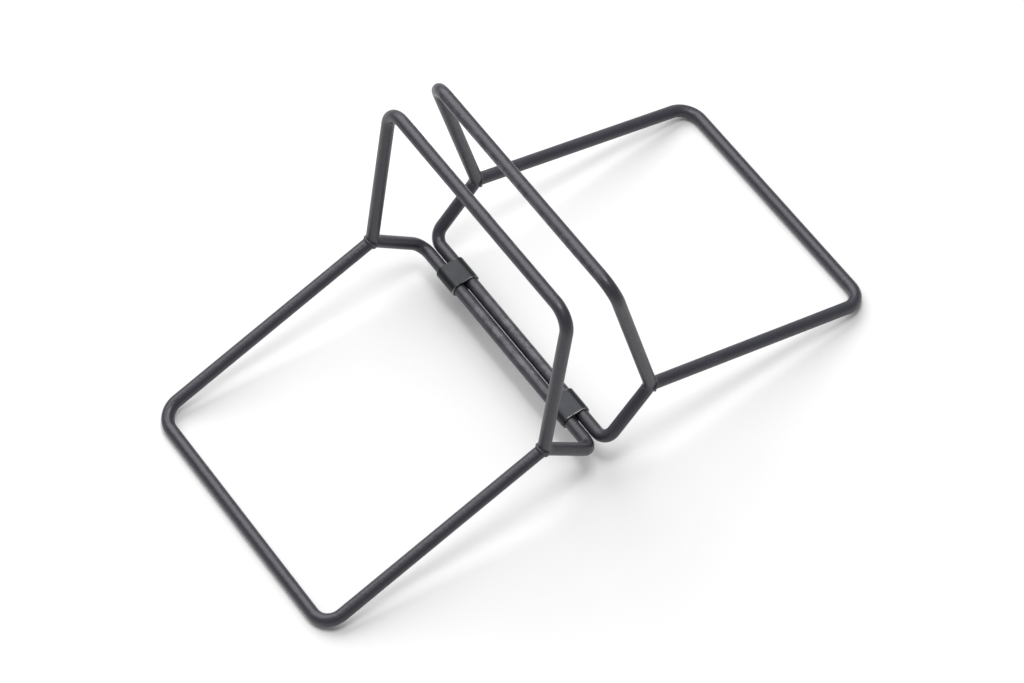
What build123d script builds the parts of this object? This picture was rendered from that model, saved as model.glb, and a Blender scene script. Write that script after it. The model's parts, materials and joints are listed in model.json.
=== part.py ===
from build123d import *
import math
import os

# Self-clamping floor stand for a bicycle wheel, bent from coated steel rod.
# Two mirror-image wings lie side by side and are tied together by two hinge clips round their
# centre bars. The wheel stands on the centre bars, and its weight closes the two hoops on it.
#
# All sizes are in millimetres. +X is the right wing, +Y the front, +Z up, and the origin is on
# the floor under the middle of the stand.

# Rod
rod_diameter = 11.0          # 10 mm steel under a 0.5 mm plastic coat
corner_radius = 18.0         # centre line of the bends of the foot bar and of the hoop's top
crook_radius = 12.0          # centre line of the tighter bends at the welds and the centre bar

# Overall sizes, between the centre lines of the rods
stand_depth = 249.0          # from the rear rods to the front rods
foot_reach = 266.5           # from the middle of the stand out to each foot bar
hoop_height = 232.8          # top bar of each hoop above the floor
hoop_gap = 42.2              # between the two top bars, with a wheel in the stand

# Where the leg, the stub and the foot rod of a wing meet
crook_height = 74.2
crook_spacing = 104.0        # between the left and the right crooks

# Centre bars
centre_bar_height = 30.0
centre_bar_gap = 1.0         # clear space between the two bars

# Hinge clips, each a strip of sheet steel wrapped round both centre bars
clip_spacing = 160.0         # between the middles of the two clips
clip_width = 24.0
clip_thickness = 1.6
clip_running_clearance = 0.1
clip_seam = 0.8              # gap between the ends of the strip, underneath
clip_edge_round = 0.5

# Welds between the foot rods and the hoop loops
weld_bead_radius = 2.0
foot_end_set_back = 0.45     # of the rod's radius, from the crook to the cut end of the foot rod

# Values worked out from the sizes above
rod_radius = rod_diameter / 2
half_depth = stand_depth / 2
top_bar_offset = hoop_gap / 2
crook_offset = crook_spacing / 2
centre_bar_offset = rod_radius + centre_bar_gap / 2
clip_bore_radius = rod_radius + clip_running_clearance
clip_outer_radius = clip_bore_radius + clip_thickness

SIDES = {"left": -1, "right": 1}
ENDS = {"rear": -1, "front": 1}


def crook_point(side, end):
    """Where the centre lines of a leg, a stub and a foot rod cross."""
    return Vector(side * crook_offset, end * half_depth, crook_height)


def top_corner(side, end):
    """Corner between a hoop's top bar and one of its legs."""
    return Vector(side * top_bar_offset, end * half_depth, hoop_height)


def centre_corner(side, end):
    """Corner between a stub and the centre bar."""
    return Vector(side * centre_bar_offset, end * half_depth, centre_bar_height)


def foot_corner(side, end):
    """Corner between a foot rod and the foot bar that lies on the floor."""
    return Vector(side * foot_reach, end * half_depth, rod_radius)


def bent_rod(points, radii):
    """Round rod along straight runs that are joined by tangent arcs."""
    path = FilletPolyline(*points, radius=radii)
    start = Plane(origin=path @ 0, z_dir=path % 0)
    return sweep(start * Circle(rod_radius), path=path)


def hoop_half(side, end):
    """Half of a hoop loop: half the top bar, a leg, a stub and half the centre bar."""
    points = [
        Vector(side * top_bar_offset, 0, hoop_height),
        top_corner(side, end),
        crook_point(side, end),
        centre_corner(side, end),
        Vector(side * centre_bar_offset, 0, centre_bar_height),
    ]
    return bent_rod(points, [corner_radius, crook_radius, crook_radius])


def hoop_loop(side):
    """Closed loop of rod: the hoop that grips the wheel and the centre bar that carries it."""
    halves = [hoop_half(side, end) for end in ENDS.values()]
    return (halves[0] + halves[1]).solid()


def foot_direction(side, end):
    """Unit vector along a foot rod, from the crook to the floor."""
    return (foot_corner(side, end) - crook_point(side, end)).normalized()


def foot_end(side, end):
    """Centre of a foot rod's cut end, inside the bend that it is welded to."""
    return crook_point(side, end) + foot_direction(side, end) * (foot_end_set_back * rod_radius)


def foot_loop(side, hoop):
    """U of rod that stands on the floor, with its two ends coped to the hoop loop."""
    points = [
        foot_end(side, 1),
        foot_corner(side, 1),
        foot_corner(side, -1),
        foot_end(side, -1),
    ]
    return (bent_rod(points, [corner_radius, corner_radius]) - hoop).solid()


def weld_bead(side, end, hoop):
    """Ring of weld metal in the corner all round a foot rod, where it meets the hoop loop."""
    along = foot_direction(side, end)
    leg = (top_corner(side, end) - crook_point(side, end)).normalized()
    half_angle = math.radians(along.get_angle(leg)) / 2
    centre = crook_point(side, end) + along * (rod_radius / math.tan(half_angle))
    outer_half = Pos(weld_bead_radius, 0) * Rectangle(2 * weld_bead_radius, 2 * weld_bead_radius)
    section = Pos(rod_radius, 0) * (Circle(weld_bead_radius) & outer_half)
    ring = revolve(Plane.XZ * section, Axis.Z)
    return (Plane(origin=centre, z_dir=along) * ring - hoop).solid()


def hinge_clip(end):
    """Flat oval band round both centre bars, which turn in it, with its seam underneath."""
    bar_spacing = 2 * centre_bar_offset
    outside = SlotCenterToCenter(bar_spacing, 2 * clip_outer_radius)
    inside = SlotCenterToCenter(bar_spacing, 2 * clip_bore_radius)
    seam = Pos(0, -clip_outer_radius) * Rectangle(clip_seam, 2 * clip_outer_radius)
    centre = (0, end * clip_spacing / 2, centre_bar_height)
    middle = Plane(origin=centre, x_dir=(1, 0, 0), z_dir=(0, -1, 0))
    band = extrude(outside - inside - seam, amount=clip_width / 2, both=True)
    rims = band.faces().filter_by(Axis.Z).edges()
    return (middle * fillet(rims, clip_edge_round)).solid()


os.makedirs("parts", exist_ok=True)

for side_name, side in SIDES.items():
    hoop = hoop_loop(side)
    foot = foot_loop(side, hoop)
    export_step(hoop, f"parts/{side_name}_hoop_loop.step")
    export_step(foot, f"parts/{side_name}_foot_loop.step")
    for end_name, end in ENDS.items():
        weld = weld_bead(side, end, hoop)
        export_step(weld, f"parts/{side_name}_{end_name}_weld.step")

for end_name, end in ENDS.items():
    export_step(hinge_clip(end), f"parts/{end_name}_hinge_clip.step")
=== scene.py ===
import json
import math

import bpy
import numpy as np
from mathutils import Matrix, Vector


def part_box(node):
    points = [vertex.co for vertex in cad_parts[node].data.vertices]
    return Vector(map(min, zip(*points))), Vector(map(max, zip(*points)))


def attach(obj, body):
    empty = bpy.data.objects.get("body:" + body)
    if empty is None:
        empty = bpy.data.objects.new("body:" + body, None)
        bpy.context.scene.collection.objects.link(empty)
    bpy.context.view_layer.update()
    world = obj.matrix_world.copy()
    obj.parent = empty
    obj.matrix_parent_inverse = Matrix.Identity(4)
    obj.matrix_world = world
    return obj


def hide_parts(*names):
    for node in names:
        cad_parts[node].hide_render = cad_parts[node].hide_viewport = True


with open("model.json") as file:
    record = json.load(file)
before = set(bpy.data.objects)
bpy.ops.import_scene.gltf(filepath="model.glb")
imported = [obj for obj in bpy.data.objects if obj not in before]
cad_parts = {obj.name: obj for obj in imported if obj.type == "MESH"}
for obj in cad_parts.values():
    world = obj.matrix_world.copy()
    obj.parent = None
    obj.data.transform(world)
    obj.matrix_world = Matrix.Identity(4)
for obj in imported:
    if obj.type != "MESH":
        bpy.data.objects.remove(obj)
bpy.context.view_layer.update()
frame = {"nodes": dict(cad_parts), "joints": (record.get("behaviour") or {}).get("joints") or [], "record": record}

# A folding floor stand that grips a bicycle wheel: two wings of round steel rod, dipped in black
# plastic and joined by two clips of black-plated strip. Metres throughout. +X is the right wing,
# +Y the front, +Z up.

MM = 0.001

# ---- sizes read from the frame ----
MOUNTS = {mount["name"]: mount for mount in frame["record"]["mounts"]}
JOINTS = {joint["name"]: joint for joint in frame["joints"]}
ROD_RADIUS = MOUNTS["right_foot_bar"]["dims"]["r_mm"] * MM
FOOT_BAR_X = MOUNTS["right_foot_bar"]["pos_m"][0]
CENTRE_BAR_X, _, CENTRE_BAR_Z = JOINTS["right_wing_hinge"]["pos_m"]
HOOP_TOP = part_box("right_hoop_loop")[1]
HALF_DEPTH = HOOP_TOP.y - ROD_RADIUS
TOP_BAR_Z = HOOP_TOP.z - ROD_RADIUS
CLIP_LOW, CLIP_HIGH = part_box("front_hinge_clip")

# ---- sizes of the bent rod that the frame's boxes don't hold ----
TOP_BAR_X = 21.1 * MM
CROOK_X = 52.0 * MM
CROOK_Z = 74.2 * MM
CORNER_RADIUS = 18.0 * MM
CROOK_RADIUS = 12.0 * MM
FOOT_END_SET_BACK = 0.3      # of the rod's radius, from the crook to a foot rod's buried end

# ---- weld beads ----
BEAD_RADIUS = 1.7 * MM       # of the bead's section, at the flanks of the foot rod
BEAD_CROWN = 0.25 * MM       # more than that above and below the foot rod
BEAD_SEAT = 0.94             # of the rod's radius, so that the bead is sunk in the rod
BEAD_START = -0.6 * MM       # along the foot rod from the crook, before the rise
BEAD_RISE = 3.9 * MM         # further along, above and below the foot rod
BEAD_TURN_EASING = 0.03      # rounds off the bead's line where it passes the flanks
RIPPLES = 23                 # pools of weld metal round a bead
RIPPLE_DEPTH = 0.035         # of the bead's radius
RIPPLE_LEAN = 1.6            # radians of a ripple, either way
BEAD_UNEVENNESS = 0.05       # of the bead's radius, three times round it

# ---- where the coat is worn: where each kind of wear begins, and where it is full ----
TYRE_RUB_HEIGHT = (1.0 * MM, 5.0 * MM)        # above the middle line of a centre bar
TYRE_RUB_ALONG = (75.0 * MM, 30.0 * MM)       # from the middle of a centre bar
TYRE_RUB_ACROSS = (15.0 * MM, 10.0 * MM)      # from the middle of the stand
WHEEL_RUB_INWARDS = (1.5 * MM, 4.5 * MM)      # from the middle line of a top bar
WHEEL_RUB_HEIGHT = (150.0 * MM, 200.0 * MM)   # above the floor
FLOOR_SCUFF_HEIGHT = (2.6 * MM, 0.4 * MM)     # above the floor

# ---- fineness of the surfaces ----
STEP = 2.0 * MM              # between rings along a rod
FEWEST_RUN_STEPS = 2
FEWEST_BEND_STEPS = 6
RING = 48                    # points round a rod
BEAD_STEPS = 192             # points round a weld
BEAD_RING = 20               # points round the bead itself

SIDES = {"left": -1, "right": 1}
ENDS = {"rear": -1, "front": 1}


# ---------------------------------------------------------------- shapes

def unit(vector):
    """The vector, or each row of an array of them, at length one."""
    return vector / np.linalg.norm(vector, axis=-1, keepdims=True)


def fade(value, start, full):
    """Goes smoothly from 0 where value is start to 1 where it is full, which may be the lower."""
    t = np.clip((value - start) / (full - start), 0, 1)
    return t * t * (3 - 2 * t)


def straight_run(start, end, with_end):
    """Shares from 0 to 1, as a column, that divide a straight run into steps."""
    steps = max(FEWEST_RUN_STEPS, round(np.linalg.norm(end - start) / STEP))
    return np.linspace(0, 1, steps, endpoint=with_end)[:, None]


def rounded_path(corners, radii):
    """Centre line of a bent rod: straight runs joined by tangent arcs, as points and tangents.

    At a corner the direction turns from u to w by an angle a. The arc starts r*tan(a/2) before
    the corner, and at angle t along it the point is start + r*(sin t * u + (1 - cos t) * n),
    where n is the part of w square to u.
    """
    corners = np.array(corners, float)
    points = []
    tangents = []
    start = corners[0]
    for before, corner, after, radius in zip(corners, corners[1:], corners[2:], radii):
        u = unit(corner - before)
        w = unit(after - corner)
        turn = math.acos(float(u @ w))
        n = unit(w - (w @ u) * u)
        set_back = radius * math.tan(turn / 2)
        arc_start = corner - u * set_back
        run = straight_run(start, arc_start, with_end=False)
        points.append(start + run * (arc_start - start))
        tangents.append(np.repeat(u[None], len(run), axis=0))
        bend_steps = max(FEWEST_BEND_STEPS, round(turn * radius / STEP))
        t = np.linspace(0, turn, bend_steps, endpoint=False)[:, None]
        points.append(arc_start + radius * (np.sin(t) * u + (1 - np.cos(t)) * n))
        tangents.append(np.cos(t) * u + np.sin(t) * n)
        start = corner + w * set_back
    run = straight_run(start, corners[-1], with_end=True)
    points.append(start + run * (corners[-1] - start))
    tangents.append(np.repeat(unit(corners[-1] - start)[None], len(run), axis=0))
    return np.concatenate(points), np.concatenate(tangents)


def surface(name, grid, closed_along, pulled_straight=None):
    """Mesh of a grid of points, rows along the piece and columns round it, closed round.

    A piece that isn't closed along gets a flat cap on each end. pulled_straight is the same
    grid with one more row and column, and gives each face corner its place on the rod as if
    it had never been bent, so that a pattern follows the rod and has no seam.
    """
    rows, columns = grid.shape[:2]
    number = np.arange(rows * columns).reshape(rows, columns)
    row = np.arange(rows if closed_along else rows - 1)[:, None]
    column = np.arange(columns)[None]
    next_row = (row + 1) % rows
    next_column = (column + 1) % columns
    faces = np.stack([number[row, column], number[row, next_column],
                      number[next_row, next_column], number[next_row, column]], axis=-1)
    face_list = faces.reshape(-1, 4).tolist()
    if not closed_along:
        face_list += [number[0, ::-1].tolist(), number[-1].tolist()]
    mesh = bpy.data.meshes.new(name)
    mesh.from_pydata(grid.reshape(-1, 3).tolist(), [], face_list)
    if pulled_straight is not None:
        corners = np.stack([pulled_straight[row, column], pulled_straight[row, column + 1],
                            pulled_straight[row + 1, column + 1], pulled_straight[row + 1, column]],
                           axis=2).reshape(-1, 3)
        caps = np.zeros((len(mesh.loops) - len(corners), 3))
        values = np.concatenate([corners, caps]).astype(np.float32)
        attribute = mesh.attributes.new("pulled_straight", "FLOAT_VECTOR", "CORNER")
        attribute.data.foreach_set("vector", values.ravel())
    mesh.shade_smooth()
    mesh.validate()
    piece = bpy.data.objects.new(name, mesh)
    bpy.context.scene.collection.objects.link(piece)
    return piece


def paint_wear(piece, rubbed=0.0, scuffed=0.0):
    """Stores how rubbed and how scuffed each point of a piece is, 0 to 1, for its coat to read."""
    points = len(piece.data.vertices)
    for name, share in (("rubbed", rubbed), ("scuffed", scuffed)):
        attribute = piece.data.attributes.new(name, "FLOAT", "POINT")
        values = np.broadcast_to(np.ravel(share), points).astype(np.float32)
        attribute.data.foreach_set("value", values)


def rod(name, path, tangents, reference, closed):
    """Round rod carried along a path.

    Each ring is centre + r*(cos a * n + sin a * b), where n is the reference direction made
    square to the tangent and b is square to both. The reference is never along the rod, so
    the rings don't twist.
    """
    n = unit(reference - (tangents @ reference)[:, None] * tangents)
    b = np.cross(tangents, n)
    angle = np.linspace(0, 2 * math.pi, RING, endpoint=False)[None, :, None]
    grid = path[:, None] + ROD_RADIUS * (np.cos(angle) * n[:, None] + np.sin(angle) * b[:, None])

    steps = np.linalg.norm(np.diff(path, axis=0, append=path[:1]), axis=1)
    along = np.concatenate([[0], np.cumsum(steps)])[:, None]
    round_again = np.linspace(0, 2 * math.pi, RING + 1)[None]
    straight = np.stack(np.broadcast_arrays(along, ROD_RADIUS * np.cos(round_again),
                                            ROD_RADIUS * np.sin(round_again)), axis=-1)
    return surface(name, grid, closed, straight), grid


def corner_point(side, end, x, z):
    """A corner of a wing's rods, on their centre line."""
    return np.array([side * x, end * HALF_DEPTH, z])


def foot_direction(side):
    """Unit vector along a wing's foot rods, from the hoop to the floor."""
    return unit(np.array([side * (FOOT_BAR_X - CROOK_X), 0, ROD_RADIUS - CROOK_Z]))


def hoop_rod(side_name, side):
    """Closed loop of rod: top bar, legs, stubs and the centre bar, where the loop starts and ends.

    The coat is rubbed where the tyre stands on the centre bar, and where the wheel slides in past
    the inner side of the top bar.
    """
    start = np.array([side * CENTRE_BAR_X, 0, CENTRE_BAR_Z])
    rising = [(CENTRE_BAR_X, CENTRE_BAR_Z), (CROOK_X, CROOK_Z), (TOP_BAR_X, TOP_BAR_Z)]
    front = [corner_point(side, ENDS["front"], x, z) for x, z in rising]
    rear = [corner_point(side, ENDS["rear"], x, z) for x, z in reversed(rising)]
    radii = [CROOK_RADIUS, CROOK_RADIUS, CORNER_RADIUS, CORNER_RADIUS, CROOK_RADIUS, CROOK_RADIUS]
    path, tangents = rounded_path([start, *front, *rear, start], radii)
    piece, grid = rod(f"{side_name}_hoop_rod", path[:-1], tangents[:-1], foot_direction(side), True)

    x = np.abs(grid[..., 0])
    y = np.abs(grid[..., 1])
    z = grid[..., 2]
    on_centre_bar = fade(z - CENTRE_BAR_Z, *TYRE_RUB_HEIGHT) * fade(x, *TYRE_RUB_ACROSS)
    tyre_rub = on_centre_bar * fade(y, *TYRE_RUB_ALONG)
    wheel_rub = fade(TOP_BAR_X - x, *WHEEL_RUB_INWARDS) * fade(z, *WHEEL_RUB_HEIGHT)
    paint_wear(piece, rubbed=np.maximum(tyre_rub, wheel_rub))
    return piece


def foot_rod(side_name, side):
    """U of rod that stands on the floor, its two ends buried in the bends that they are welded to.

    Its coat is scuffed where it touches the floor.
    """
    buried = foot_direction(side) * ROD_RADIUS * FOOT_END_SET_BACK
    corners = [corner_point(side, ENDS["front"], CROOK_X, CROOK_Z) + buried,
               corner_point(side, ENDS["front"], FOOT_BAR_X, ROD_RADIUS),
               corner_point(side, ENDS["rear"], FOOT_BAR_X, ROD_RADIUS),
               corner_point(side, ENDS["rear"], CROOK_X, CROOK_Z) + buried]
    path, tangents = rounded_path(corners, [CORNER_RADIUS, CORNER_RADIUS])
    upright = np.cross(foot_direction(side), np.array([0, side, 0]))
    piece, grid = rod(f"{side_name}_foot_rod", path, tangents, upright, False)
    paint_wear(piece, scuffed=fade(grid[..., 2], *FLOOR_SCUFF_HEIGHT))
    return piece


def weld_bead(side_name, side, end_name, end):
    """Ring of weld metal in the corner between a foot rod and the hoop's bend.

    Its middle line goes round just inside the foot rod's surface, at angle p from the crown, which
    is the middle of the rod's top or of its underside. It is nearest to the crook at the rod's
    flanks, and shifts along the rod with the size of cos p. Its section is a circle, at angle q
    round it, whose radius swells and shrinks a little: one ripple for each pool of weld metal,
    leaning over as they do in a pulled bead, and a slow unevenness that differs from weld to weld.
    """
    along = foot_direction(side)
    flank = np.array([0, end, 0])
    crown = np.cross(along, flank)
    p = np.linspace(0, 2 * math.pi, BEAD_STEPS, endpoint=False)[:, None, None]
    q = np.linspace(0, 2 * math.pi, BEAD_RING, endpoint=False)[None, :, None]
    outwards = np.cos(p) * crown + np.sin(p) * flank
    shift = BEAD_START + BEAD_RISE * np.sqrt(np.cos(p) ** 2 + BEAD_TURN_EASING)
    ripple = RIPPLE_DEPTH * np.sin(RIPPLES * p - RIPPLE_LEAN * np.cos(q))
    unevenness = BEAD_UNEVENNESS * np.sin(3 * p + side + end)
    radius = (BEAD_RADIUS + BEAD_CROWN * np.cos(p) ** 2) * (1 + ripple + unevenness)
    crook = corner_point(side, end, CROOK_X, CROOK_Z)
    middle = crook + shift * along + ROD_RADIUS * BEAD_SEAT * outwards
    grid = middle + radius * (np.cos(q) * outwards + np.sin(q) * along)
    piece = surface(f"{side_name}_{end_name}_weld_bead", grid, True)
    paint_wear(piece)
    return piece


# ---------------------------------------------------------------- materials

def linear(code):
    """An sRGB hex colour as linear RGBA."""
    channels = [int(code[i:i + 2], 16) / 255 for i in (1, 3, 5)]
    return [c / 12.92 if c <= 0.04045 else ((c + 0.055) / 1.055) ** 2.4 for c in channels] + [1.0]


def add(tree, kind, inputs=None, output=None, **settings):
    """Adds a node and returns one of its outputs, the first unless another is asked for.

    Settings are the node's properties. Inputs and the output go by their sockets' identifiers,
    and each input is a value, or an output of another node to link from.
    """
    node = tree.nodes.new(kind)
    for name, value in settings.items():
        setattr(node, name, value)
    sockets = {socket.identifier: socket for socket in node.inputs}
    for name, value in (inputs or {}).items():
        if isinstance(value, bpy.types.NodeSocket):
            tree.links.new(value, sockets[name])
        else:
            sockets[name].default_value = value
    outputs = {socket.identifier: socket for socket in node.outputs}
    return outputs[output] if output else node.outputs[0]


def blank_material(name):
    """A new material, its node tree, and the socket of its one node, which takes the shader."""
    material = bpy.data.materials.new(name)
    material.use_nodes = True
    tree = material.node_tree
    tree.nodes.clear()
    return material, tree, tree.nodes.new("ShaderNodeOutputMaterial").inputs["Surface"]


def dipped_plastic():
    """Rod dipped in molten black plastic, as coat hooks and display racks are.

    The coat is satin, near black with a little blue in it. It has the slight orange peel that a
    melt leaves, drawn at 3 mm between dimples so that it shows, and a finer grain, drawn at
    0.9 mm for the same reason. Fine scratches run along the rod. Where rims and tyres rub, the
    coat goes smooth and greyish, and where it stands on the floor it is scuffed dull and pale,
    both in patches.
    """
    material, tree, surface_socket = blank_material("dipped_plastic_coat")
    straight = add(tree, "ShaderNodeAttribute", output="Vector", attribute_name="pulled_straight")
    rubbed = add(tree, "ShaderNodeAttribute", output="Fac", attribute_name="rubbed")
    scuffed = add(tree, "ShaderNodeAttribute", output="Fac", attribute_name="scuffed")
    place = add(tree, "ShaderNodeTexCoord", output="Object")

    cloud = add(tree, "ShaderNodeTexNoise",
                {"Vector": place, "Scale": 1 / (45 * MM), "Detail": 3.0, "Roughness": 0.6})
    peel = add(tree, "ShaderNodeTexNoise",
               {"Vector": place, "Scale": 1 / (3.0 * MM), "Detail": 1.5, "Roughness": 0.45})
    grain = add(tree, "ShaderNodeTexNoise",
                {"Vector": place, "Scale": 1 / (0.9 * MM), "Detail": 2.0, "Roughness": 0.6})
    patch = add(tree, "ShaderNodeTexNoise",
                {"Vector": place, "Scale": 1 / (9 * MM), "Detail": 4.0, "Roughness": 0.7})
    worn_patch = add(tree, "ShaderNodeMapRange",
                     {"Value": patch, "From Min": 0.38, "From Max": 0.62},
                     interpolation_type="SMOOTHSTEP")
    rub = add(tree, "ShaderNodeMath", {"Value": rubbed, "Value_001": worn_patch},
              operation="MULTIPLY")
    scuff = add(tree, "ShaderNodeMath", {"Value": scuffed, "Value_001": worn_patch},
                operation="MULTIPLY")

    # Scratches lie about 1 mm apart and are some 36 mm long.
    stretched = add(tree, "ShaderNodeMapping", {"Vector": straight, "Scale": (28.0, 900.0, 900.0)})
    lines = add(tree, "ShaderNodeTexNoise",
                {"Vector": stretched, "Scale": 1.0, "Detail": 3.0, "Roughness": 0.75})
    scratches = add(tree, "ShaderNodeMapRange",
                    {"Value": lines, "From Min": 0.655, "From Max": 0.70},
                    interpolation_type="SMOOTHSTEP")

    # The coat's own colour, with each kind of wear laid over it at its strength.
    colour = add(tree, "ShaderNodeMix",
                 {"Factor_Float": cloud, "A_Color": linear("#1e1e27"), "B_Color": linear("#2b2b36")},
                 "Result_Color", data_type="RGBA")
    for wear, strength, worn_colour in ((scratches, 0.35, "#6d6d70"), (rub, 0.55, "#55555a"),
                                        (scuff, 0.8, "#8d8a85")):
        share = add(tree, "ShaderNodeMath", {"Value": wear, "Value_001": strength},
                    operation="MULTIPLY")
        colour = add(tree, "ShaderNodeMix",
                     {"Factor_Float": share, "A_Color": colour, "B_Color": linear(worn_colour)},
                     "Result_Color", data_type="RGBA")

    roughness = add(tree, "ShaderNodeMapRange", {"Value": cloud, "To Min": 0.36, "To Max": 0.48})
    for wear, worn_roughness in ((rub, 0.26), (scuff, 0.72)):
        roughness = add(tree, "ShaderNodeMix",
                        {"Factor_Float": wear, "A_Float": roughness, "B_Float": worn_roughness})

    peeled = add(tree, "ShaderNodeBump", {"Height": peel, "Distance": 0.3 * MM, "Strength": 0.8})
    grained = add(tree, "ShaderNodeBump",
                  {"Height": grain, "Distance": 0.03 * MM, "Strength": 0.6, "Normal": peeled})
    scratched = add(tree, "ShaderNodeBump",
                    {"Height": scratches, "Distance": 0.04 * MM, "Strength": 0.6, "Normal": grained},
                    invert=True)

    # Soft plastics have an IOR near 1.5. A little more strengthens the coat's satin highlight.
    shader = add(tree, "ShaderNodeBsdfPrincipled",
                 {"Base Color": colour, "Roughness": roughness, "IOR": 1.6, "Normal": scratched})
    tree.links.new(shader, surface_socket)
    return material


def black_zinc_strip():
    """Pressed steel strip, zinc plated and turned black in a chromate bath.

    It is a dark metal with a faint olive and blue cast that wanders over the surface, the fine
    lines of the rolled strip, and bright steel where its rims have rubbed.
    """
    material, tree, surface_socket = blank_material("black_zinc_plated_strip")
    place = add(tree, "ShaderNodeTexCoord", output="Object")
    cloud = add(tree, "ShaderNodeTexNoise", {"Vector": place, "Scale": 1 / (8 * MM), "Detail": 3.0})

    # Rolled lines lie about 0.25 mm apart and are some 9 mm long.
    rolled = add(tree, "ShaderNodeMapping", {"Vector": place, "Scale": (110.0, 4000.0, 110.0)})
    lines = add(tree, "ShaderNodeTexNoise", {"Vector": rolled, "Scale": 1.0, "Detail": 2.0})

    # One clip is in front of the stand's middle and one behind it, so the size of y, less that of
    # a clip's middle, tells how far a point is from the middle of its own clip.
    y = add(tree, "ShaderNodeSeparateXYZ", {"Vector": place}, "Y")
    size_of_y = add(tree, "ShaderNodeMath", {"Value": y}, operation="ABSOLUTE")
    clip_middle = (CLIP_LOW.y + CLIP_HIGH.y) / 2
    offset = add(tree, "ShaderNodeMath", {"Value": size_of_y, "Value_001": clip_middle},
                 operation="SUBTRACT")
    from_middle = add(tree, "ShaderNodeMath", {"Value": offset}, operation="ABSOLUTE")
    half_width = (CLIP_HIGH.y - CLIP_LOW.y) / 2
    rim = add(tree, "ShaderNodeMapRange",
              {"Value": from_middle, "From Min": half_width - 0.9 * MM,
               "From Max": half_width - 0.2 * MM},
              interpolation_type="SMOOTHSTEP")
    patch = add(tree, "ShaderNodeMapRange", {"Value": cloud, "From Min": 0.4, "From Max": 0.6},
                interpolation_type="SMOOTHSTEP")
    rubbed = add(tree, "ShaderNodeMath", {"Value": rim, "Value_001": patch}, operation="MULTIPLY")

    plating = add(tree, "ShaderNodeMix",
                  {"Factor_Float": cloud, "A_Color": linear("#34352f"), "B_Color": linear("#3d3f48")},
                  "Result_Color", data_type="RGBA")
    colour = add(tree, "ShaderNodeMix",
                 {"Factor_Float": rubbed, "A_Color": plating, "B_Color": linear("#a3a19b")},
                 "Result_Color", data_type="RGBA")
    roughness = add(tree, "ShaderNodeMapRange", {"Value": lines, "To Min": 0.3, "To Max": 0.5})
    bump = add(tree, "ShaderNodeBump", {"Height": lines, "Distance": 0.02 * MM, "Strength": 0.5})
    shader = add(tree, "ShaderNodeBsdfPrincipled",
                 {"Base Color": colour, "Roughness": roughness, "Metallic": 1.0, "Normal": bump})
    tree.links.new(shader, surface_socket)
    return material


def studio_paper():
    """Matt white studio paper with a faint mottle.

    White paper sends back about three quarters of the light, which these pale greys are.
    """
    material, tree, surface_socket = blank_material("matt_white_floor")
    place = add(tree, "ShaderNodeTexCoord", output="Object")
    mottle = add(tree, "ShaderNodeTexNoise", {"Vector": place, "Scale": 3.0, "Detail": 4.0})
    colour = add(tree, "ShaderNodeMix",
                 {"Factor_Float": mottle, "A_Color": linear("#e0e0e0"), "B_Color": linear("#e6e6e6")},
                 "Result_Color", data_type="RGBA")
    shader = add(tree, "ShaderNodeBsdfPrincipled", {"Base Color": colour, "Roughness": 0.7})
    tree.links.new(shader, surface_socket)
    return material


# ---------------------------------------------------------------- building the stand

coat = dipped_plastic()
for side_name, side in SIDES.items():
    body = f"{side_name}_wing"
    hoop = hoop_rod(side_name, side)
    foot = foot_rod(side_name, side)
    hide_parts(f"{side_name}_hoop_loop")
    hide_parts(f"{side_name}_foot_loop")
    wing = [hoop, foot]
    for end_name, end in ENDS.items():
        bead = weld_bead(side_name, side, end_name, end)
        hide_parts(f"{side_name}_{end_name}_weld")
        wing.append(bead)
    for piece in wing:
        piece.data.materials.append(coat)
        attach(piece, body)

strip = black_zinc_strip()
for end_name in ENDS:
    clip = frame["nodes"][f"{end_name}_hinge_clip"]
    for material_slot in clip.material_slots:
        material_slot.material = strip

# ---------------------------------------------------------------- floor, light and camera

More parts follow.
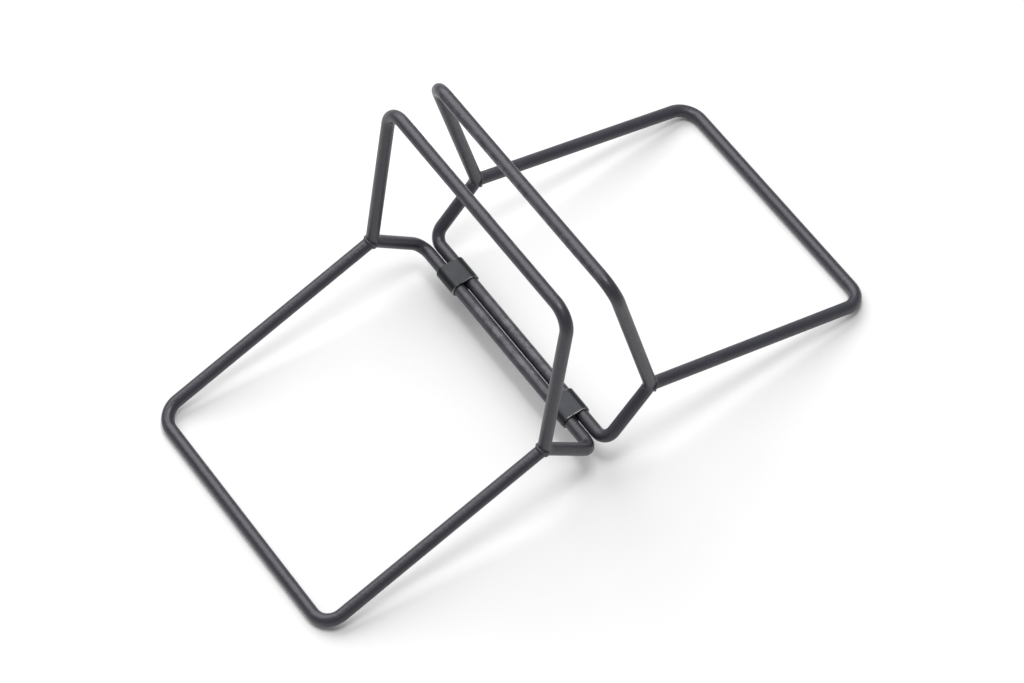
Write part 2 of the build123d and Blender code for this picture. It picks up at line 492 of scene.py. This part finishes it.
FLOOR_HALF = 4.0
floor_mesh = bpy.data.meshes.new("floor")
floor_mesh.from_pydata([(-FLOOR_HALF, -FLOOR_HALF, 0), (FLOOR_HALF, -FLOOR_HALF, 0),
                        (FLOOR_HALF, FLOOR_HALF, 0), (-FLOOR_HALF, FLOOR_HALF, 0)], [], [(0, 1, 2, 3)])
floor_mesh.materials.append(studio_paper())
floor = bpy.data.objects.new("floor", floor_mesh)
bpy.context.scene.collection.objects.link(floor)


def soft_light(name, position, width, height, watts):
    """Soft box at a position, turned towards the stand."""
    data = bpy.data.lights.new(name, "AREA")
    data.shape = "RECTANGLE"
    data.size = width
    data.size_y = height
    data.energy = watts
    light = bpy.data.objects.new(name, data)
    light.location = position
    light.rotation_euler = (-Vector(position)).to_track_quat("-Z", "Y").to_euler()
    bpy.context.scene.collection.objects.link(light)


soft_light("overhead_soft_box", position=(0.15, -0.2, 2.6), width=0.9, height=0.9, watts=31)
soft_light("back_panel", position=(0.2, 1.8, 2.2), width=3.6, height=2.4, watts=84)

ROOM_COLOUR = "#f7f7f8"
ROOM_STRENGTH = 0.42
world = bpy.data.worlds.new("studio")
world.use_nodes = True
world.node_tree.nodes["Background"].inputs["Color"].default_value = linear(ROOM_COLOUR)
world.node_tree.nodes["Background"].inputs["Strength"].default_value = ROOM_STRENGTH
bpy.context.scene.world = world
bpy.context.scene.view_settings.view_transform = "Standard"

# The camera stands high up behind the left wing, and looks down at the middle of the centre bars.
CAMERA_STATION = Vector((-1.0159, -1.7234, 3.0378))
CAMERA_AIM = Vector((0.0, 0.0, CENTRE_BAR_Z))
CAMERA_ROLL = math.radians(-4.58)
CAMERA_LENS = 155.0

forward = (CAMERA_AIM - CAMERA_STATION).normalized()
level_right = forward.cross(Vector((0, 0, 1))).normalized()
level_up = level_right.cross(forward)
right = math.cos(CAMERA_ROLL) * level_right + math.sin(CAMERA_ROLL) * level_up
up = right.cross(forward)
camera_turn = Matrix((right, up, -forward)).transposed().to_4x4()
camera_data = bpy.data.cameras.new("camera")
camera_data.lens = CAMERA_LENS
camera = bpy.data.objects.new("camera", camera_data)
camera.matrix_world = Matrix.Translation(CAMERA_STATION) @ camera_turn
bpy.context.scene.collection.objects.link(camera)
bpy.context.scene.camera = camera
